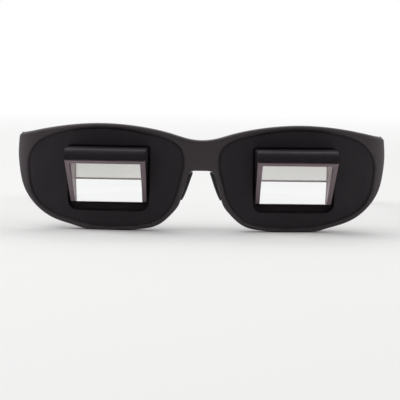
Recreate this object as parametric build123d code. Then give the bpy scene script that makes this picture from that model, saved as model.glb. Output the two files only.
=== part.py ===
from build123d import *
from math import asin, cos, degrees, radians, sin, sqrt, tan
import os

os.makedirs("parts", exist_ok=True)

# Reading glasses that turn the line of sight down by a right angle.
# +X is the wearer's left, +Y runs back along the temples, +Z is up, all in millimetres.
# The left-hand pieces are drawn, and the right-hand ones are their mirror images.

# Front: one wrapped moulding with a bridge, two rims and two endpieces
frame_width = 152.2
frame_height = 43.8
rim_depth = 4.6
wrap_radius = 330.0
end_radius = 12.0
end_overhang = 1.5
corner_radius = 1.6
rest_flat_length = 7.0
rim_edge_round = 0.9
endpiece_front = 11.0
endpiece_back = 21.5
endpiece_height = 10.1
endpiece_drop = 4.9
sweep_start = 9.0
sweep_bend_back = 15.5
sweep_bend_drop = 6.3

# Outline points as shares of half the width and of the height
top_shares = (
    (0.0, 0.854), (0.16, 0.912), (0.32, 0.971), (0.54, 1.0), (0.75, 0.972), (0.993, 0.882)
)
side_shares = (
    (0.993, 0.882), (1.0, 0.72), (0.991, 0.55), (0.967, 0.39), (0.903, 0.226), (0.8, 0.099),
    (0.68, 0.034)
)
nose_shares = (
    (0.32, 0.016), (0.25, 0.041), (0.203, 0.086), (0.158, 0.16), (0.118, 0.252), (0.1, 0.36),
    (0.082, 0.455)
)
wing_shares = ((0.115, 0.285), (0.09, 0.38), (0.072, 0.47), (0.055, 0.555))
arch_shares = (0.03, 0.57)
rest_flat_share = 0.466

# Slopes at which those outlines begin and end
top_end_slope = 0.28
side_start_lean = 0.08
sweep_start_lean = 0.1
sweep_end_slope = 0.5

# Lens openings in the rims, and the groove that holds the panels
rim_top_band = 2.2
rim_low_band = 2.0
rim_end_band = 5.4
rim_nose_band = 1.45
groove_depth = 0.8
groove_front = 0.5
groove_width = 2.2
groove_gap = 0.08

# Opening points as shares of its own width and height, from the nose over the top and back
opening_shares = (
    (0.0, 0.68), (0.03, 0.82), (0.2, 0.935), (0.37, 0.985), (0.51, 1.0), (0.68, 0.983),
    (0.84, 0.93), (0.95, 0.83), (0.998, 0.69), (1.0, 0.56), (0.988, 0.415), (0.938, 0.238),
    (0.82, 0.108), (0.69, 0.041), (0.56, 0.009), (0.4414, 0.0), (0.32, 0.009), (0.21, 0.04),
    (0.145, 0.092), (0.098, 0.17), (0.059, 0.27), (0.022, 0.48),
)

# Prism, in section: an upright rear face, a level foot, a sloping front face and a silvered top face
prism_middle_share = 0.5
prism_yaw_share = 0.4
prism_width = 28.6
prism_rise = 18.9
prism_face_angle = 45.0
prism_roof_angle = 8.6
prism_rear = 8.4
prism_foot = 5.8
prism_bevel = 0.3
prism_gap = 0.1

# Prism housing: a hood, two cheeks and a floor that stand out through the panel, and a flange
cheek_low_wall = 1.2
cheek_top_wall = 2.0
hood_rise = 4.3
hood_fall = 0.6
hood_round = 2.8
hood_wall = 1.6
lip_wall = 1.4
lip_cover = 0.25
floor_wall = 1.0
cavity_back = 7.0
rib_wall = 1.2
rib_spacing = 16.0
window_side_gap = 0.35
window_low_gap = 3.3
window_top_gap = 0.1
window_middle_share = 0.4863
window_radius = 3.8
window_top_radius = 0.4
window_edge_round = 0.3
flange_margin = 2.0
flange_gap = 0.1
flange_back = 5.0
panel_gap = 0.05

# Trim round the sloping face, and the ring that closes the prism in from the eye side
bezel_width = 1.75
bezel_thickness = 0.7
bezel_gap = 0.05
retainer_margin = 1.0
retainer_cover = 0.4
retainer_thickness = 1.2
retainer_outer_radius = 1.0
retainer_inner_radius = 0.3
retainer_bevel = 0.5
retainer_gap = 0.05

# Nose wings on the front, and the soft pads on them
wing_wall = 1.7
wing_flare = 2.4
wing_root = 0.8
wing_back = 12.0
pad_thickness = 1.4
pad_gap = 0.1
pad_overhang = 0.7
pad_round = 0.4

# Three-knuckle hinges
knuckle_radius = 1.4
knuckle_gap = 0.1
knuckle_clearance = 0.3
hinge_drop = 9.9
hinge_height = 7.8
middle_knuckle = 3.0
leaf_thickness = 0.8
leaf_reach = 8.0
leaf_corner = 1.6
leaf_proud = 0.1
leaf_gap = 0.05
screw_radius = 0.7
screw_bore_gap = 0.05
screw_head_radius = 1.25
screw_head_height = 0.7
screw_slot_width = 0.4
screw_slot_depth = 0.35
stake_radius = 0.5
stake_gap = 0.05
stake_head_radius = 0.9
stake_head_height = 0.3
stake_shares = (0.3, 0.72)

# Temples
temple_setback = 0.3
temple_thickness = 3.8
temple_drop = 4.8
temple_root_height = 10.0
temple_taper = 38.0
temple_neck_drop = 2.7
temple_neck_height = 5.8
temple_butt_gap = 0.2
temple_straight = 93.0
temple_bend_radius = 28.0
temple_bend_angle = 52.0
temple_tip_height = 7.6
temple_tip_flat = 0.35
temple_curl_start = 88.0
temple_curl_radius = 250.0
temple_round = 0.9
temple_top_slope = 0.03
temple_low_slope = 0.05

overrun = 5.0
touch = 0.001

# Places worked out from the sizes
half_width = frame_width / 2
wrap_half_width = half_width + end_overhang
end_centre_x = wrap_half_width - end_radius
end_centre_y = wrap_radius - sqrt((wrap_radius - end_radius) ** 2 - end_centre_x**2)
groove_back = groove_front + groove_width
panel_front = groove_front + groove_gap
panel_back = groove_back - groove_gap
endpiece_high = frame_height - endpiece_drop
endpiece_low = endpiece_high - endpiece_height
sweep_bend_low = endpiece_low - sweep_bend_drop

prism_middle = prism_middle_share * half_width
window_height = window_low_gap + prism_rise + hood_rise + window_top_gap
window_low = window_middle_share * frame_height - window_height / 2
window_high = window_low + window_height
prism_low = window_low + window_low_gap
lip_low = prism_low + prism_rise - lip_cover
hood_rear_height = prism_low + prism_rise + hood_rise
hood_front_height = hood_rear_height - hood_fall

prism_yaw = prism_yaw_share * degrees(asin(prism_middle / wrap_radius))
prism_seat = wrap_radius - sqrt((wrap_radius - panel_front) ** 2 - prism_middle**2)
prism_place = Pos(prism_middle, prism_seat, 0) * Rot(0, 0, prism_yaw)
prism_run = prism_rise / tan(radians(prism_face_angle))
slope_foot = prism_rear - prism_foot
prism_front = slope_foot - prism_run
prism_roof_rear = prism_low + prism_rise - (prism_rear - prism_front) * tan(radians(prism_roof_angle))
floor_low = prism_low - prism_gap - floor_wall
slope_normal = (0, -sin(radians(prism_face_angle)), -cos(radians(prism_face_angle)))
slope_plane = Plane(origin=(0, slope_foot, prism_low), x_dir=(1, 0, 0), z_dir=slope_normal)
hood_front = prism_front - prism_gap - lip_wall
housing_low_width = prism_width + 2 * (prism_gap + cheek_low_wall)
housing_top_width = prism_width + 2 * (prism_gap + cheek_top_wall)
window_width = max(housing_low_width, housing_top_width) + 2 * window_side_gap

temple_outer_x = half_width - temple_setback
inner_wall_x = temple_outer_x - temple_thickness
hinge_x = inner_wall_x - knuckle_radius + leaf_thickness - leaf_proud
hinge_y = endpiece_back + temple_butt_gap / 2
hinge_middle = frame_height - hinge_drop
hinge_low = hinge_middle - hinge_height / 2
hinge_high = hinge_middle + hinge_height / 2
leaf_start = knuckle_radius + knuckle_clearance
temple_start = endpiece_back + temple_butt_gap
temple_top = frame_height - temple_drop
temple_neck_top = temple_top - temple_neck_drop


def across(shares, width, height):
    return [(x * width, z * height) for x, z in shares]


def upright(face, length):
    return extrude(Plane.XZ * face, length, both=True)


def sideways(face, length):
    return extrude(Plane.YZ * face, length, both=True)


def rounded_box(width, low, high, radius):
    return Pos(0, (low + high) / 2) * RectangleRounded(width, high - low, radius)


# The outline of the front, its openings and its wrapped surfaces


def front_face():
    top_points = across(top_shares, half_width, frame_height)
    top = Spline(*top_points, tangents=[(1, 0), (1, -top_end_slope)])
    flat_middle = rest_flat_share * half_width
    flat_outer = (flat_middle + rest_flat_length / 2, 0)
    flat_inner = (flat_middle - rest_flat_length / 2, 0)
    side_points = across(side_shares, half_width, frame_height) + [flat_outer]
    side = Spline(*side_points, tangents=[(side_start_lean, -1), (-1, 0)])
    flat = Line(flat_outer, flat_inner)
    nose_points = [flat_inner] + across(nose_shares + (arch_shares,), half_width, frame_height)
    nose = Spline(*nose_points, tangents=[(-1, 0), (-1, 0)])
    bridge_low = arch_shares[1] * frame_height
    crown = Line(nose_points[-1], (0, bridge_low))
    middle = Line((0, bridge_low), (0, top_shares[0][1] * frame_height))
    half = make_face([top, side, flat, nose, crown, middle])
    corner = half.vertices().sort_by_distance((*side_points[0], 0))[0]
    half = fillet(corner, corner_radius)
    return half + mirror(half, about=Plane.YZ)


def opening_face(growth):
    low_x = nose_shares[-1][0] * half_width + rim_nose_band - growth
    low_z = rim_low_band - growth
    width = half_width - rim_end_band + growth - low_x
    height = frame_height - rim_top_band + growth - low_z
    points = [(low_x + x, low_z + z) for x, z in across(opening_shares, width, height)]
    return make_face(Spline(*points, periodic=True))


def plan_face(inset):
    block = Pos(0, wrap_radius) * Circle(wrap_radius)
    depth = endpiece_back + overrun
    block &= Pos(0, depth / 2) * Rectangle(2 * wrap_half_width, depth)
    ends = block.vertices().group_by(Axis.Y)[0]
    block = fillet(ends, end_radius)
    return offset(block, -inset) if inset else block


def behind_front(inset):
    return extrude(plan_face(inset), frame_height + overrun)


def wrap_band(front, back):
    ahead = Pos(0, endpiece_back - frame_width / 2, 0) * Box(2 * frame_width, frame_width, 3 * frame_height)
    return (behind_front(front) - behind_front(back)) & ahead


def inset_at(point):
    side = abs(point.X)
    if side * (wrap_radius - end_radius) <= end_centre_x * wrap_radius:
        return wrap_radius - sqrt(side**2 + (wrap_radius - point.Y) ** 2)
    if point.Y < end_centre_y:
        return end_radius - sqrt((side - end_centre_x) ** 2 + (end_centre_y - point.Y) ** 2)
    return wrap_half_width - side


def edges_at_inset(shape, inset):
    near = ShapeList()
    for edge in shape.edges():
        spots = [edge @ 0, edge @ 0.5, edge @ 1]
        if all(abs(inset_at(spot) - inset) < touch for spot in spots):
            near.append(edge)
    return near


# Front frame


def front_frame():
    slab = upright(front_face(), overrun + endpiece_back)
    hole = upright(opening_face(0), endpiece_back)
    body = (wrap_band(0, rim_depth) & slab) - hole - mirror(hole, about=Plane.YZ)
    curved = edges_at_inset(body, 0).filter_by(GeomType.LINE, reverse=True)
    body = fillet(curved, rim_edge_round)
    groove = wrap_band(groove_front, groove_back)
    groove &= upright(opening_face(groove_depth), endpiece_back)
    cuts = groove + end_sweep()
    body -= cuts + mirror(cuts, about=Plane.YZ)
    added = endpiece(slab) + nose_wing()
    body += added + mirror(added, about=Plane.YZ)
    recess = leaf_slot(-1) + knuckle_void()
    body -= recess + mirror(recess, about=Plane.YZ)
    stakes = leaf_stakes(-1)
    return body + stakes + mirror(stakes, about=Plane.YZ)


def end_sweep():
    low = (sweep_start, 0)
    bend = (sweep_bend_back, sweep_bend_low)
    corner = (endpiece_back, endpiece_low)
    curve = Spline(low, bend, corner, tangents=[(sweep_start_lean, 1), (1, sweep_end_slope)])
    back = endpiece_back + overrun
    rest = Polyline(corner, (back, endpiece_low), (back, -overrun), (sweep_start, -overrun), low)
    swept = sideways(make_face([curve, rest]), frame_width)
    return swept - Pos(end_centre_x - half_width, 0, 0) * Box(frame_width, frame_width, frame_width)


def endpiece(slab):
    length = endpiece_back - endpiece_front
    height = endpiece_high - endpiece_low
    middle = Pos(inner_wall_x + overrun, endpiece_front + length / 2, endpiece_low + height / 2)
    block = middle * Box(2 * overrun, length, height)
    return block & slab & behind_front(rim_edge_round)


def nose_strip(near, far):
    points = across(wing_shares, half_width, frame_height)
    inner = Spline(*[(x + near, z) for x, z in points])
    outer = Spline(*[(x + far, z) for x, z in points])
    return make_face([inner, outer, Line(inner @ 0, outer @ 0), Line(inner @ 1, outer @ 1)])


def nose_loft(near, far, front, back):
    flare = wing_flare / (wing_back - rim_depth)
    start_shift = (front - rim_depth) * flare
    end_shift = (back - rim_depth) * flare
    start = Plane.XZ.offset(-front) * nose_strip(near + start_shift, far + start_shift)
    end = Plane.XZ.offset(-back) * nose_strip(near + end_shift, far + end_shift)
    return loft([start, end], ruled=True)


def wing_profile(margin):
    low = wing_shares[0][1] * frame_height
    high = wing_shares[-1][1] * frame_height
    reach = wing_back - rim_depth - margin
    return Pos(rim_depth, (low + high) / 2) * Ellipse(reach, (high - low) / 2 - margin)


def nose_wing():
    strip = nose_loft(0, wing_wall, rim_depth - wing_root, wing_back)
    return strip & sideways(wing_profile(pad_overhang), frame_width)


def nose_pad():
    strip = nose_loft(-pad_thickness, 0, rim_depth + pad_gap, wing_back)
    pad = strip & sideways(wing_profile(0), frame_width)
    return fillet(pad.edges(), pad_round)


# Opaque panel in each rim, with the window for the prism housing


def window_face():
    face = Pos(0, (window_low + window_high) / 2) * Rectangle(window_width, window_high - window_low)
    face = fillet(face.vertices().group_by(Axis.Y)[0], window_radius)
    return fillet(face.vertices().group_by(Axis.Y)[-1], window_top_radius)


def lens_panel():
    outline = opening_face(groove_depth - groove_gap)
    sheet = wrap_band(panel_front, panel_back) & upright(outline, endpiece_back)
    sheet -= prism_place * upright(window_face(), endpiece_back)
    half = window_width / 2
    edges = edges_at_inset(sheet, panel_front)
    edges = edges.filter_by_position(Axis.Z, window_low - touch, window_high + touch)
    edges = edges.filter_by_position(Axis.X, prism_middle - half, prism_middle + half)
    return fillet(edges, window_edge_round)


# Glass prism


def prism_section(gap):
    points = (
        (prism_rear, prism_low),
        (slope_foot, prism_low),
        (prism_front, prism_low + prism_rise),
        (prism_rear, prism_roof_rear),
    )
    section = make_face(Polyline(*points, close=True))
    return offset(section, gap, kind=Kind.INTERSECTION) if gap else section


def prism():
    glass = sideways(prism_section(0), prism_width / 2)
    return prism_place * chamfer(glass.edges(), prism_bevel)


# Housing that carries the prism


def slope_y(height):
    return slope_foot - (height - prism_low) / tan(radians(prism_face_angle))


def housing_half_width(height):
    share = (height - prism_low) / (hood_rear_height - prism_low)
    return (housing_low_width + share * (housing_top_width - housing_low_width)) / 2


def front_trapezoid(low, high):
    low_half = housing_half_width(low)
    high_half = housing_half_width(high)
    corners = ((-low_half, low), (low_half, low), (high_half, high), (-high_half, high))
    return make_face(Polyline(*corners, close=True))


def housing_shell():
    points = (
        (slope_foot, floor_low),
        (slope_foot, prism_low),
        (slope_y(lip_low), lip_low),
        (hood_front, lip_low),
        (hood_front, hood_front_height),
        (prism_rear, hood_rear_height),
        (prism_rear, floor_low),
    )
    side = make_face(Polyline(*points, close=True))
    edge = side.vertices().sort_by_distance((hood_front, hood_front_height, 0))[0]
    shell = sideways(fillet(edge, hood_round), frame_width)
    return shell & upright(front_trapezoid(prism_low - overrun, hood_rear_height + overrun), frame_width)


def hood_cavity():
    inner_front = prism_front - prism_gap
    points = (
        (inner_front, lip_low),
        (inner_front, hood_front_height - hood_wall),
        (cavity_back, hood_rear_height - hood_wall),
        (cavity_back, prism_roof_rear),
    )
    cavity = sideways(make_face(Polyline(*points, close=True)), prism_width / 2 + prism_gap)
    for place in (-rib_spacing / 2, rib_spacing / 2):
        cavity -= Pos(place, 0, 0) * Box(rib_wall, frame_width, frame_width)
    return cavity


def slope_box(low, high, margin):
    slant = sin(radians(prism_face_angle))
    start = (low - prism_low) / slant
    end = (high - prism_low) / slant
    low_half = housing_half_width(low) + margin
    high_half = housing_half_width(high) + margin
    corners = ((-low_half, start), (low_half, start), (high_half, end), (-high_half, end))
    return make_face(Polyline(*corners, close=True))


def prism_housing():
    plate = rounded_box(
        window_width + 2 * flange_margin,
        window_low - flange_margin,
        window_high + flange_margin,
        window_radius + flange_margin,
    )
    flange = prism_place * upright(plate, flange_back) & behind_front(panel_back + panel_gap)
    flange &= upright(opening_face(-flange_gap), endpiece_back)
    pocket = sideways(prism_section(prism_gap), prism_width / 2 + prism_gap)
    bezel_seat = extrude(slope_plane * slope_box(prism_low, lip_low, bezel_gap), overrun)
    hollow = pocket + hood_cavity() + bezel_seat
    return flange + prism_place * housing_shell() - prism_place * hollow


def prism_bezel():
    outer = slope_box(prism_low + bezel_thickness, lip_low - bezel_gap, 0)
    inner = slope_box(prism_low, lip_low - bezel_width * sin(radians(prism_face_angle)), -bezel_width)
    return prism_place * extrude(slope_plane * (outer - inner), bezel_thickness)


def prism_retainer():
    width = prism_width + 2 * retainer_margin
    low = prism_low - retainer_margin
    high = prism_roof_rear + retainer_margin
    ring = rounded_box(width, low, high, retainer_outer_radius)
    width = prism_width - 2 * retainer_cover
    low = prism_low + retainer_cover
    high = prism_roof_rear - retainer_cover
    ring -= rounded_box(width, low, high, retainer_inner_radius)
    front = Plane.XZ.offset(-prism_rear - retainer_gap)
    ring = extrude(front * ring, -retainer_thickness)
    rear = ring.faces().sort_by(Axis.Y)[-1]
    ring = chamfer(rear.inner_wires()[0].edges(), retainer_bevel)
    return prism_place * ring


# Hinges


def knuckle(low, high):
    return Pos(hinge_x, hinge_y, (low + high) / 2) * Cylinder(knuckle_radius, high - low)


def leaf_layer(face, near, far):
    origin = (hinge_x + near, hinge_y, hinge_middle)
    return extrude(Plane(origin=origin, x_dir=(0, 1, 0), z_dir=(1, 0, 0)) * face, far - near)


def hinge_leaf(side, spans):
    near = knuckle_radius - leaf_thickness
    length = leaf_reach - leaf_start
    plate = Pos(side * (leaf_start + length / 2), 0) * Rectangle(length, hinge_height)
    ends = plate.vertices().group_by(Axis.X)
    plate = fillet(ends[-1] if side > 0 else ends[0], leaf_corner)
    for share in stake_shares:
        plate -= Pos(side * (leaf_start + share * length), 0) * Circle(stake_radius + stake_gap)
    leaf = leaf_layer(plate, near, knuckle_radius)
    for low, high in spans:
        reach = leaf_start + leaf_thickness
        tab = Pos(side * reach / 2, (low + high) / 2 - hinge_middle) * Rectangle(reach, high - low)
        leaf += leaf_layer(tab, near, knuckle_radius) + knuckle(low, high)
    bore = Cylinder(screw_radius + screw_bore_gap, 2 * hinge_height)
    return leaf - Pos(hinge_x, hinge_y, hinge_middle) * bore


def front_hinge_leaf():
    low_top = hinge_middle - middle_knuckle / 2 - knuckle_gap
    high_low = hinge_middle + middle_knuckle / 2 + knuckle_gap
    return hinge_leaf(-1, ((hinge_low, low_top), (high_low, hinge_high)))


def temple_hinge_leaf():
    half = middle_knuckle / 2
    return hinge_leaf(1, ((hinge_middle - half, hinge_middle + half),))


def hinge_screw():
    shank = Pos(hinge_x, hinge_y, hinge_middle) * Cylinder(screw_radius, hinge_height)
    head_middle = hinge_high + screw_head_height / 2
    head = Pos(hinge_x, hinge_y, head_middle) * Cylinder(screw_head_radius, screw_head_height)
    slot_middle = hinge_high + screw_head_height - screw_slot_depth / 2
    slot = Box(2 * screw_head_radius, screw_slot_width, screw_slot_depth)
    return shank + head - Pos(hinge_x, hinge_y, slot_middle) * slot


def leaf_slot(side):
    length = leaf_reach + leaf_gap
    height = hinge_height + 2 * leaf_gap
    face = Pos(side * length / 2, 0) * Rectangle(length, height)
    return leaf_layer(face, -overrun, knuckle_radius + leaf_gap)


def knuckle_void():
    low = hinge_low - knuckle_clearance
    high = temple_top + overrun
    return Pos(hinge_x, hinge_y, (low + high) / 2) * Cylinder(leaf_start, high - low)


def leaf_stakes(side):
    near = knuckle_radius - leaf_thickness
    pins = []
    for share in stake_shares:
        place = Pos(side * (leaf_start + share * (leaf_reach - leaf_start)), 0)
        pins.append(leaf_layer(place * Circle(stake_radius), near, knuckle_radius + leaf_thickness))
        pins.append(leaf_layer(place * Circle(stake_head_radius), near - stake_head_height, near))
    return pins[0] + pins[1:]


# Temples


def temple_side():
    centre_height = temple_neck_top - temple_neck_height / 2
    bend_y = temple_start + temple_straight
    bend_centre = Vector(bend_y, centre_height - temple_bend_radius)
    turn = radians(temple_bend_angle)
    outward = Vector(sin(turn), cos(turn))
    along = Vector(cos(turn), -sin(turn))
    half_neck = temple_neck_height / 2
    half_tip = temple_tip_height / 2
    bend_end = bend_centre + outward * temple_bend_radius
    drop = bend_end.Y - half_tip + temple_tip_flat
    tip = bend_end + along * (drop / sin(turn))
    taper_y = temple_start + temple_taper
    neck_low = temple_neck_top - temple_neck_height
    root_low = temple_top - temple_root_height
    top_start = (temple_start, temple_top)
    top = Spline(top_start, (taper_y, temple_neck_top), tangents=[(1, -temple_top_slope), (1, 0)])
    top_line = Line((taper_y, temple_neck_top), (bend_y, temple_neck_top))
    top_arc = bend_arc(bend_centre, temple_bend_radius + half_neck)
    top_tip = Line(top_arc @ 1, tip + outward * half_tip)
    end = ThreePointArc(tip + outward * half_tip, tip + along * half_tip, tip - outward * half_tip)
    low_arc = bend_arc(bend_centre, temple_bend_radius - half_neck)
    low_tip = Line(tip - outward * half_tip, low_arc @ 1)
    low_line = Line((bend_y, neck_low), (taper_y, neck_low))
    low = Spline((taper_y, neck_low), (temple_start, root_low), tangents=[(-1, 0), (-1, -temple_low_slope)])
    butt = Line((temple_start, root_low), top_start)
    return make_face([top, top_line, top_arc, top_tip, end, low_tip, low_arc, low_line, low, butt])


def bend_arc(centre, radius):
    turn = radians(temple_bend_angle)
    spots = [centre + Vector(sin(share * turn), cos(share * turn)) * radius for share in (0, 0.5, 1)]
    return ThreePointArc(*spots)


def temple_plan():
    curl_y = temple_start + temple_curl_start
    reach = temple_straight + temple_bend_radius + temple_curl_start
    centre = Pos(temple_outer_x - temple_curl_radius, curl_y)
    ring = centre * (Circle(temple_curl_radius) - Circle(temple_curl_radius - temple_thickness))
    ring &= Pos(temple_outer_x, curl_y + reach / 2) * Rectangle(frame_width, reach)
    length = curl_y - temple_start
    bar = Pos(temple_outer_x - temple_thickness / 2, temple_start + length / 2)
    return ring + bar * Rectangle(temple_thickness, length)


def temple():
    bar = sideways(temple_side(), frame_width) & extrude(temple_plan(), 2 * frame_height)
    behind = temple_start + touch
    long_edges = [edge for edge in bar.edges() if edge.center().Y > behind]
    bar = fillet(long_edges, temple_round)
    above = Pos(0, 0, frame_width) * Box(4 * frame_width, 4 * frame_width, 2 * frame_width)
    bar &= above
    return bar - leaf_slot(1) - knuckle_void() + leaf_stakes(1)


# Assembly: the whole is moved so that its box stands on Z = 0 with X and Y in its middle

drawn = {
    "lens_panel": lens_panel(),
    "prism_housing": prism_housing(),
    "prism": prism(),
    "prism_bezel": prism_bezel(),
    "prism_retainer": prism_retainer(),
    "nose_pad": nose_pad(),
    "front_hinge_leaf": front_hinge_leaf(),
    "temple_hinge_leaf": temple_hinge_leaf(),
    "hinge_screw": hinge_screw(),
    "temple": temple(),
}
pieces = {"front_frame": front_frame()}
for name, piece in drawn.items():
    pieces["left_" + name] = piece
    pieces["right_" + name] = mirror(piece, about=Plane.YZ)

boxes = [piece.bounding_box() for piece in pieces.values()]
front_y = min(box.min.Y for box in boxes)
back_y = max(box.max.Y for box in boxes)
middle_y = (front_y + back_y) / 2

for name, piece in pieces.items():
    export_step(Pos(0, -middle_y, 0) * piece, "parts/" + name + ".step")

print("length", round(back_y - front_y, 3), "middle", round(middle_y, 4))
print("hinge axis", round(hinge_x, 4), round(hinge_y - middle_y, 4), hinge_middle)
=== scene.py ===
"""Prism bed glasses: finishes, soft nose pads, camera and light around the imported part."""

import math

import bmesh
import bpy
from mathutils import Matrix, Vector
from mathutils.bvhtree import BVHTree


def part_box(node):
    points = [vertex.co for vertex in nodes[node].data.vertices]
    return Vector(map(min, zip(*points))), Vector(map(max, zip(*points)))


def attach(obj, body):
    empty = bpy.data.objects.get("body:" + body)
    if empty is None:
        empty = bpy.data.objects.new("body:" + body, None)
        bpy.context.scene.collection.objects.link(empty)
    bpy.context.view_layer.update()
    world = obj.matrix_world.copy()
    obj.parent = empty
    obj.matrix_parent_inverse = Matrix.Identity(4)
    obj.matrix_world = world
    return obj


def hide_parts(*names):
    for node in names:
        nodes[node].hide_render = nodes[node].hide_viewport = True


MM = 0.001
SIDES = ("left", "right")

# Camera: in front of the bridge, a little above it, rolled as the photograph is
CAMERA_DISTANCE = 700 * MM
CAMERA_ELEVATION = math.radians(5.0)
CAMERA_ROLL = math.radians(0.8)
CAMERA_NEAREST = 0.01
CAMERA_FARTHEST = 50
AIM_X = -0.4 * MM
AIM_Z = 13.1 * MM
FRAME_PIXELS = 400
PIXELS_PER_MM = 2.443
SENSOR = 36.0

# Pale surroundings: a floor that turns white between two distances from the object
FLOOR_SIZE = 8.0
FLOOR_COLOUR = (0.90, 0.895, 0.89, 1)
FLOOR_ROUGHNESS = 0.85
FLOOR_SHINE = 0.2
FLOOR_FADE_START = 0.35
FLOOR_FADE_END = 1.3

# World light, as greys along a direction's height (0 down, 1 up) and depth (0 in front, 1 behind)
SKY_HEIGHT_STOPS = ((0.5, 0.22), (0.66, 0.74))
SKY_DEPTH_STOPS = ((0.0, 0.08), (0.04, 0.3), (0.2, 1.0))
GLOSSY_WHITE_STOPS = ((0.3, 0.0), (0.7, 1.0))

# Lamps: place, width and height, and power in watts
LAMP_TARGET = (0, 0, 20 * MM)
LAMPS = {
    "key": ((-0.7, -0.2, 0.9), (0.9, 0.7), 3.6),
    "fill": ((0.9, -0.25, 0.7), (0.8, 0.8), 1.5),
    "back": ((0, 0.9, 0.9), (1.2, 0.5), 2.2),
}

# Soft nose pads: mesh counts, how far the middle bulges, and how closely the CAD pad's edge is followed
PAD_RINGS = 14
PAD_SPOKES = 72
PAD_CROWN_SHARE = 0.24
PAD_BACK_SHARE = 0.03
PAD_MIDDLE_SHARE = 0.42
PAD_LARGEST_REACH = 20 * MM
PAD_EDGE_STEP = 0.005 * MM
PAD_EDGE_INSET = 0.06 * MM
CAST_START_X = -200 * MM
CAST_STEP = 0.01 * MM

# Sockets of a colour Mix node, which shares its names with the other kinds of mix
MIX_FIRST = 6
MIX_SECOND = 7
MIX_RESULT = 2

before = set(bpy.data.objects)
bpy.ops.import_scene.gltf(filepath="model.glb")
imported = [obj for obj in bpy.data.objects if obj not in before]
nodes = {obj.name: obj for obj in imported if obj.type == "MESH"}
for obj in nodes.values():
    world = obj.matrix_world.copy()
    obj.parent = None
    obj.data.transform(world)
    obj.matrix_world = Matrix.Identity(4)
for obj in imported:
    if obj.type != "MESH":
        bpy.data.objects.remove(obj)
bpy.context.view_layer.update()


# Material building


def new_material(name):
    material = bpy.data.materials.new(name)
    material.use_nodes = True
    tree = material.node_tree
    return material, tree, tree.nodes["Principled BSDF"]


def add(tree, kind, **settings):
    """A new node; a setting that starts with in_ is the value of the input of that name."""
    node = tree.nodes.new(kind)
    for key, value in settings.items():
        if key.startswith("in_"):
            node.inputs[key[3:].replace("_", " ")].default_value = value
        else:
            setattr(node, key, value)
    return node


def feed(tree, socket, value):
    """Give a socket a link from another socket, or a plain value."""
    if isinstance(value, bpy.types.NodeSocket):
        tree.links.new(value, socket)
    else:
        socket.default_value = value


def math_node(tree, operation, *values):
    node = add(tree, "ShaderNodeMath", operation=operation)
    for socket, value in zip(node.inputs, values):
        feed(tree, socket, value)
    return node.outputs[0]


def mix_colour(tree, factor, first, second):
    """The first colour where the factor is 0 and the second where it is 1."""
    node = add(tree, "ShaderNodeMix", data_type="RGBA")
    tree.links.new(factor, node.inputs["Factor"])
    feed(tree, node.inputs[MIX_FIRST], first)
    feed(tree, node.inputs[MIX_SECOND], second)
    return node.outputs[MIX_RESULT]


def mix_surface(tree, factor, first, second):
    """The first shader where the factor is 0 and the second where it is 1, as the material's surface."""
    node = add(tree, "ShaderNodeMixShader")
    for socket, value in zip(node.inputs, (factor, first.outputs[0], second.outputs[0])):
        tree.links.new(value, socket)
    tree.links.new(node.outputs[0], tree.nodes["Material Output"].inputs["Surface"])


def split_direction(tree, output):
    """The X, Y and Z parts of a direction from the texture coordinates."""
    node = add(tree, "ShaderNodeSeparateXYZ")
    tree.links.new(add(tree, "ShaderNodeTexCoord").outputs[output], node.inputs[0])
    return list(node.outputs)


def grey(value):
    return (value, value, value, 1)


def ramp(tree, source, stops):
    """Colours or greys at places from 0 to 1."""
    node = add(tree, "ShaderNodeValToRGB")
    tree.links.new(source, node.inputs["Fac"])
    elements = node.color_ramp.elements
    while len(elements) < len(stops):
        elements.new(0.5)
    for element, (place, colour) in zip(elements, stops):
        element.position = place
        element.color = colour if isinstance(colour, tuple) else grey(colour)
    return node.outputs["Color"]


def noise(tree, scale, detail=4.0, roughness=0.55, stretch=(1, 1, 1)):
    """Noise in the object's own metres; a low stretch draws it out along that axis."""
    mapping = add(tree, "ShaderNodeMapping", in_Scale=stretch)
    tree.links.new(add(tree, "ShaderNodeTexCoord").outputs["Object"], mapping.inputs["Vector"])
    node = add(tree, "ShaderNodeTexNoise", in_Scale=scale, in_Detail=detail, in_Roughness=roughness)
    tree.links.new(mapping.outputs["Vector"], node.inputs["Vector"])
    return node.outputs["Fac"]


def set_normal(tree, shader, height, depth, edge=None):
    """Bumps of a given depth, over edges that look rounded by a given radius."""
    node = add(tree, "ShaderNodeBump", in_Distance=depth, in_Strength=1.0)
    tree.links.new(height, node.inputs["Height"])
    if edge is not None:
        rounded = add(tree, "ShaderNodeBevel", samples=4, in_Radius=edge)
        tree.links.new(rounded.outputs["Normal"], node.inputs["Normal"])
    tree.links.new(node.outputs["Normal"], shader.inputs["Normal"])


# Finishes


def moulded_plastic(name, dark, light, smooth, rough, grain, depth, edge, shine):
    """Plastic with a mottled tone, a fine moulded grain, uneven gloss and faint rub marks; its reflections
    carry a painted pink-violet light colour.
    """
    material, tree, shader = new_material(name)
    tone = ramp(tree, noise(tree, 70.0), ((0.35, (*dark, 1)), (0.65, (*light, 1))))
    tree.links.new(tone, shader.inputs["Base Color"])
    cloud_share = 0.7
    cloud = math_node(tree, "MULTIPLY", noise(tree, 150.0, 6.0), cloud_share)
    rub_marks = noise(tree, 900.0, 3.0, 0.6, (1.0, 0.35, 0.12))
    rub = math_node(tree, "MULTIPLY", rub_marks, 1 - cloud_share)
    gloss = ramp(tree, math_node(tree, "ADD", cloud, rub), ((0.36, smooth), (0.62, rough)))
    tree.links.new(gloss, shader.inputs["Roughness"])
    set_normal(tree, shader, noise(tree, grain, 3.0), depth, edge)
    shader.inputs["IOR"].default_value = 1.46
    shader.inputs["Specular IOR Level"].default_value = shine
    # Painted light colour: a pink-violet tint on the reflections, standing in for a warm tint of the
    # light, put here instead of on the lamps
    shader.inputs["Specular Tint"].default_value = (1.0, 0.88, 0.94, 1)
    return material


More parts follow.
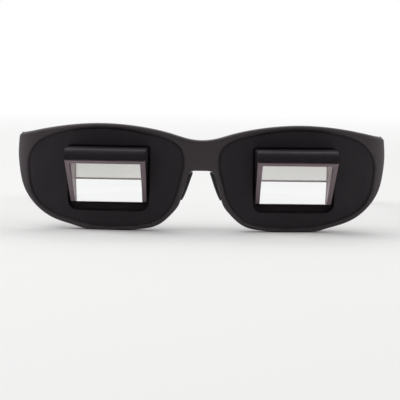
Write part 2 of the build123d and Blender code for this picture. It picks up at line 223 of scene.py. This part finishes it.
def frame_plastic():
    return moulded_plastic(
        "frame_plastic",
        dark=(0.0092, 0.0078, 0.0094),
        light=(0.0128, 0.0110, 0.0130),
        smooth=0.36,
        rough=0.48,
        grain=2600.0,
        depth=0.010 * MM,
        edge=1.8 * MM,
        shine=0.82,
    )


def panel_plastic():
    return moulded_plastic(
        "panel_plastic",
        dark=(0.0104, 0.0091, 0.0114),
        light=(0.0136, 0.0120, 0.0147),
        smooth=0.5,
        rough=0.62,
        grain=3400.0,
        depth=0.012 * MM,
        edge=0.8 * MM,
        shine=0.38,
    )


def housing_plastic():
    return moulded_plastic(
        "housing_plastic",
        # Painted shade: the same black plastic as the frame at about 0.6 of its tone, to keep the hood's
        # top dim where the key lamp falls
        dark=(0.0058, 0.0050, 0.0064),
        light=(0.0082, 0.0072, 0.0090),
        smooth=0.54,
        rough=0.66,
        grain=3000.0,
        depth=0.009 * MM,
        edge=2.2 * MM,
        shine=0.26,
    )


def bezel_plastic():
    return moulded_plastic(
        "bezel_plastic",
        dark=(0.158, 0.123, 0.133),
        light=(0.202, 0.158, 0.171),
        smooth=0.42,
        rough=0.56,
        grain=3000.0,
        depth=0.008 * MM,
        edge=0.12 * MM,
        shine=0.4,
    )


def retainer_plastic():
    return moulded_plastic(
        "retainer_plastic",
        dark=(0.0120, 0.0115, 0.0125),
        light=(0.0160, 0.0150, 0.0160),
        smooth=0.45,
        rough=0.58,
        grain=3000.0,
        depth=0.009 * MM,
        edge=0.2 * MM,
        shine=0.5,
    )


def temple_plastic():
    return moulded_plastic(
        "temple_plastic",
        dark=(0.0092, 0.0078, 0.0094),
        light=(0.0128, 0.0110, 0.0130),
        smooth=0.36,
        rough=0.48,
        grain=2600.0,
        depth=0.010 * MM,
        edge=0.3 * MM,
        shine=0.4,
    )


def prism_faces(tree):
    """1 on the polished and on the silvered faces of a prism, told apart by where they point."""
    across, along, upward = (math_node(tree, "ABSOLUTE", part) for part in split_direction(tree, "Normal"))
    slope_upward = math.sin(math.radians(45))
    slope_spread = 0.02
    silvered = math_node(tree, "GREATER_THAN", upward, 0.975)
    rear = math_node(tree, "GREATER_THAN", along, 0.98)
    slope = math_node(tree, "COMPARE", upward, slope_upward, slope_spread)
    not_side = math_node(tree, "LESS_THAN", across, 0.3)
    polished = math_node(tree, "MAXIMUM", rear, math_node(tree, "MULTIPLY", slope, not_side))
    return polished, silvered


def prism_glass():
    """Polished front and rear faces, finely ground sides and bevels, and a silvered top face."""
    material, tree, shader = new_material("prism_glass")
    polished, silvered = prism_faces(tree)
    grinding = noise(tree, 1500.0, 3.0, 0.6, (0.4, 1.0, 0.05))
    ground_tone = ramp(tree, grinding, ((0.38, (0.80, 0.68, 0.69, 1)), (0.62, (0.95, 0.85, 0.86, 1))))
    glass_tone = mix_colour(tree, polished, ground_tone, (0.975, 0.985, 0.98, 1))
    tone = mix_colour(tree, silvered, glass_tone, (0.90, 0.89, 0.87, 1))
    tree.links.new(tone, shader.inputs["Base Color"])
    tree.links.new(silvered, shader.inputs["Metallic"])
    tree.links.new(polished, shader.inputs["Transmission Weight"])
    ground = math_node(tree, "SUBTRACT", 1.0, math_node(tree, "MAXIMUM", polished, silvered))
    ground_roughness = 0.55
    tree.links.new(math_node(tree, "MULTIPLY", ground, ground_roughness), shader.inputs["Roughness"])
    shader.inputs["IOR"].default_value = 1.52
    shadow = add(tree, "ShaderNodeLightPath").outputs["Is Shadow Ray"]
    clear = add(tree, "ShaderNodeBsdfTransparent")
    mix_surface(tree, math_node(tree, "MULTIPLY", shadow, polished), shader, clear)
    return material


def pad_rubber():
    """Dark blue-grey soft rubber: a skin with a little sheen and faint dust."""
    material, tree, shader = new_material("pad_rubber")
    dark = (0.030, 0.037, 0.043, 1)
    dusty = (0.046, 0.056, 0.063, 1)
    tone = ramp(tree, noise(tree, 300.0, 5.0), ((0.35, dark), (0.68, dusty)))
    tree.links.new(tone, shader.inputs["Base Color"])
    gloss = ramp(tree, noise(tree, 700.0), ((0.3, 0.42), (0.7, 0.6)))
    tree.links.new(gloss, shader.inputs["Roughness"])
    set_normal(tree, shader, noise(tree, 4200.0, 3.0), 0.012 * MM)
    shader.inputs["IOR"].default_value = 1.45
    shader.inputs["Sheen Weight"].default_value = 0.12
    shader.inputs["Sheen Roughness"].default_value = 0.4
    return material


def brushed_steel(name, colour, stretch, smooth):
    """Plated steel with fine brush lines along one direction and a slightly uneven tone."""
    material, tree, shader = new_material(name)
    darker_share = 0.82
    rougher = smooth + 0.14
    darker = tuple(darker_share * channel for channel in colour)
    lines = noise(tree, 5200.0, 4.0, 0.65, stretch)
    tone = ramp(tree, lines, ((0.35, (*darker, 1)), (0.65, (*colour, 1))))
    tree.links.new(tone, shader.inputs["Base Color"])
    gloss = ramp(tree, noise(tree, 420.0), ((0.35, smooth), (0.65, rougher)))
    tree.links.new(gloss, shader.inputs["Roughness"])
    set_normal(tree, shader, lines, 0.008 * MM, 0.12 * MM)
    shader.inputs["Metallic"].default_value = 1.0
    return material


def hinge_steel():
    return brushed_steel("hinge_steel", (0.60, 0.59, 0.57), (1.0, 0.06, 1.0), 0.24)


def screw_steel():
    return brushed_steel("screw_steel", (0.66, 0.65, 0.63), (1.0, 1.0, 0.1), 0.18)


def both(name):
    return [side + "_" + name for side in SIDES]


def dress(names, material):
    for name in names:
        slots = nodes[name].data.materials
        slots.clear()
        slots.append(material)


# Soft nose pads: crowned rubber forms in the space of the CAD pads


def across_pad(tree, y, z):
    """The two X values where a line across the CAD pad enters and leaves it, or None."""
    start = Vector((CAST_START_X, y, z))
    hits = []
    while len(hits) < 2:
        place, _, _, _ = tree.ray_cast(start, Vector((1, 0, 0)))
        if place is None:
            return None
        hits.append(place.x)
        start = Vector((place.x + CAST_STEP, y, z))
    return hits


def pad_edge(tree, middle, angle):
    """How far the CAD pad reaches from its middle at one angle, less a small inset."""
    near, far = 0.0, PAD_LARGEST_REACH
    turn = Vector((0, math.cos(angle), math.sin(angle)))
    while far - near > PAD_EDGE_STEP:
        reach = (near + far) / 2
        spot = middle + turn * reach
        if across_pad(tree, spot.y, spot.z) is None:
            far = reach
        else:
            near = reach
    return turn * (near - PAD_EDGE_INSET)


def pad_face(shell, tree, middle, edges, inward, reach_at):
    """The centre and the rings of one face; reach_at gives how far each ring stands off the wing."""

    def corner(edge, share):
        place = middle + edge * share
        first, second = across_pad(tree, place.y, place.z)
        nose, wing = (first, second) if inward > 0 else (second, first)
        return shell.verts.new((wing + (nose - wing) * reach_at(share), place.y, place.z))

    centre = corner(edges[0], 0.0)
    shares = [math.sin(math.pi / 2 * ring / PAD_RINGS) for ring in range(1, PAD_RINGS + 1)]
    rings = [[corner(edge, share) for edge in edges] for share in shares]
    for i in range(PAD_SPOKES):
        j = (i + 1) % PAD_SPOKES
        shell.faces.new((centre, rings[0][i], rings[0][j]))
        for inner, outer in zip(rings, rings[1:]):
            shell.faces.new((inner[i], outer[i], outer[j], inner[j]))
    return rings[-1]


def nose_pad(side, rubber):
    mesh = nodes[side + "_nose_pad"].data
    tree = BVHTree.FromPolygons([v.co for v in mesh.vertices], [list(p.vertices) for p in mesh.polygons])
    low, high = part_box(side + "_nose_pad")
    middle = Vector((0, low.y + PAD_MIDDLE_SHARE * (high.y - low.y), (low.z + high.z) / 2))
    inward = 1 if side == "left" else -1
    edges = [pad_edge(tree, middle, math.tau * i / PAD_SPOKES) for i in range(PAD_SPOKES)]
    shell = bmesh.new()
    nose_row = pad_face(shell, tree, middle, edges, inward, lambda share: 1 - PAD_CROWN_SHARE * share**2)
    wing_row = pad_face(shell, tree, middle, edges, inward, lambda share: PAD_BACK_SHARE)
    for i in range(PAD_SPOKES):
        j = (i + 1) % PAD_SPOKES
        shell.faces.new((nose_row[i], wing_row[i], wing_row[j], nose_row[j]))
    bmesh.ops.recalc_face_normals(shell, faces=shell.faces)
    data = bpy.data.meshes.new(side + "_soft_nose_pad")
    shell.to_mesh(data)
    shell.free()
    for polygon in data.polygons:
        polygon.use_smooth = True
    data.materials.append(rubber)
    pad = bpy.data.objects.new(side + "_soft_nose_pad", data)
    bpy.context.scene.collection.objects.link(pad)
    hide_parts(side + "_nose_pad")
    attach(pad, "front")


# Floor, light and camera


def seen(tree):
    """1 for what the camera sees directly or through glass."""
    path = add(tree, "ShaderNodeLightPath")
    return math_node(tree, "MAXIMUM", path.outputs["Is Camera Ray"], path.outputs["Is Transmission Ray"])


def make_floor():
    mesh = bpy.data.meshes.new("floor")
    half = FLOOR_SIZE / 2
    corners = [(-half, -half, 0), (half, -half, 0), (half, half, 0), (-half, half, 0)]
    mesh.from_pydata(corners, [], [(0, 1, 2, 3)])
    floor = bpy.data.objects.new("floor", mesh)
    bpy.context.scene.collection.objects.link(floor)
    material, tree, shader = new_material("floor")
    shader.inputs["Base Color"].default_value = FLOOR_COLOUR
    shader.inputs["Roughness"].default_value = FLOOR_ROUGHNESS
    shader.inputs["Specular IOR Level"].default_value = FLOOR_SHINE
    distance = add(tree, "ShaderNodeVectorMath", operation="LENGTH")
    tree.links.new(add(tree, "ShaderNodeTexCoord").outputs["Object"], distance.inputs[0])
    fade = add(tree, "ShaderNodeMapRange", in_From_Min=FLOOR_FADE_START, in_From_Max=FLOOR_FADE_END)
    fade.interpolation_type = "SMOOTHSTEP"
    tree.links.new(distance.outputs["Value"], fade.inputs["Value"])
    white = add(tree, "ShaderNodeEmission", in_Strength=1.0)
    mix_surface(tree, math_node(tree, "MULTIPLY", fade.outputs[0], seen(tree)), shader, white)
    mesh.materials.append(material)


def make_world():
    """White behind the object; for light and gloss a studio that is bright above and dim in front."""
    world = bpy.data.worlds.new("world")
    bpy.context.scene.world = world
    world.use_nodes = True
    tree = world.node_tree
    _, ahead, upward = split_direction(tree, "Generated")
    depth = math_node(tree, "MULTIPLY_ADD", ahead, 0.5, 0.5)
    height = math_node(tree, "MULTIPLY_ADD", upward, 0.5, 0.5)
    studio = math_node(
        tree,
        "MULTIPLY",
        ramp(tree, height, SKY_HEIGHT_STOPS),
        ramp(tree, depth, SKY_DEPTH_STOPS),
    )
    glossy = add(tree, "ShaderNodeLightPath").outputs["Is Glossy Ray"]
    behind = math_node(tree, "MULTIPLY", glossy, ramp(tree, depth, GLOSSY_WHITE_STOPS))
    white_share = math_node(tree, "MAXIMUM", seen(tree), behind)
    background = tree.nodes["Background"]
    tree.links.new(mix_colour(tree, white_share, studio, grey(1.0)), background.inputs["Color"])
    background.inputs["Strength"].default_value = 1.0


def make_lamp(name, place, size, power):
    data = bpy.data.lights.new(name, "AREA")
    data.shape = "RECTANGLE"
    data.size, data.size_y = size
    data.energy = power
    lamp = bpy.data.objects.new(name, data)
    lamp.location = place
    direction = Vector(LAMP_TARGET) - Vector(place)
    lamp.rotation_euler = direction.to_track_quat("-Z", "Y").to_euler()
    bpy.context.scene.collection.objects.link(lamp)


def make_camera():
    data = bpy.data.cameras.new("camera")
    camera = bpy.data.objects.new("camera", data)
    bpy.context.scene.collection.objects.link(camera)
    bpy.context.scene.camera = camera
    front_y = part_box("front_frame")[0].y
    target = Vector((AIM_X, front_y, AIM_Z))
    back = Vector((0, -math.cos(CAMERA_ELEVATION), math.sin(CAMERA_ELEVATION)))
    place = target + back * CAMERA_DISTANCE
    turn = (-back).to_track_quat("-Z", "Y").to_matrix().to_4x4()
    camera.matrix_world = Matrix.Translation(place) @ turn @ Matrix.Rotation(CAMERA_ROLL, 4, "Z")
    data.sensor_width = SENSOR
    data.lens = PIXELS_PER_MM * (CAMERA_DISTANCE / MM) * SENSOR / FRAME_PIXELS
    data.clip_start = CAMERA_NEAREST
    data.clip_end = CAMERA_FARTHEST


dress(["front_frame"], frame_plastic())
dress(both("lens_panel"), panel_plastic())
dress(both("prism_housing"), housing_plastic())
dress(both("prism"), prism_glass())
dress(both("prism_bezel"), bezel_plastic())
dress(both("prism_retainer"), retainer_plastic())
dress(both("temple"), temple_plastic())
dress(both("front_hinge_leaf") + both("temple_hinge_leaf"), hinge_steel())
dress(both("hinge_screw"), screw_steel())

rubber = pad_rubber()
for side in SIDES:
    nose_pad(side, rubber)

make_floor()
make_world()
for name, (place, size, power) in LAMPS.items():
    make_lamp(name, place, size, power)
make_camera()

bpy.context.scene.view_settings.view_transform = "Standard"
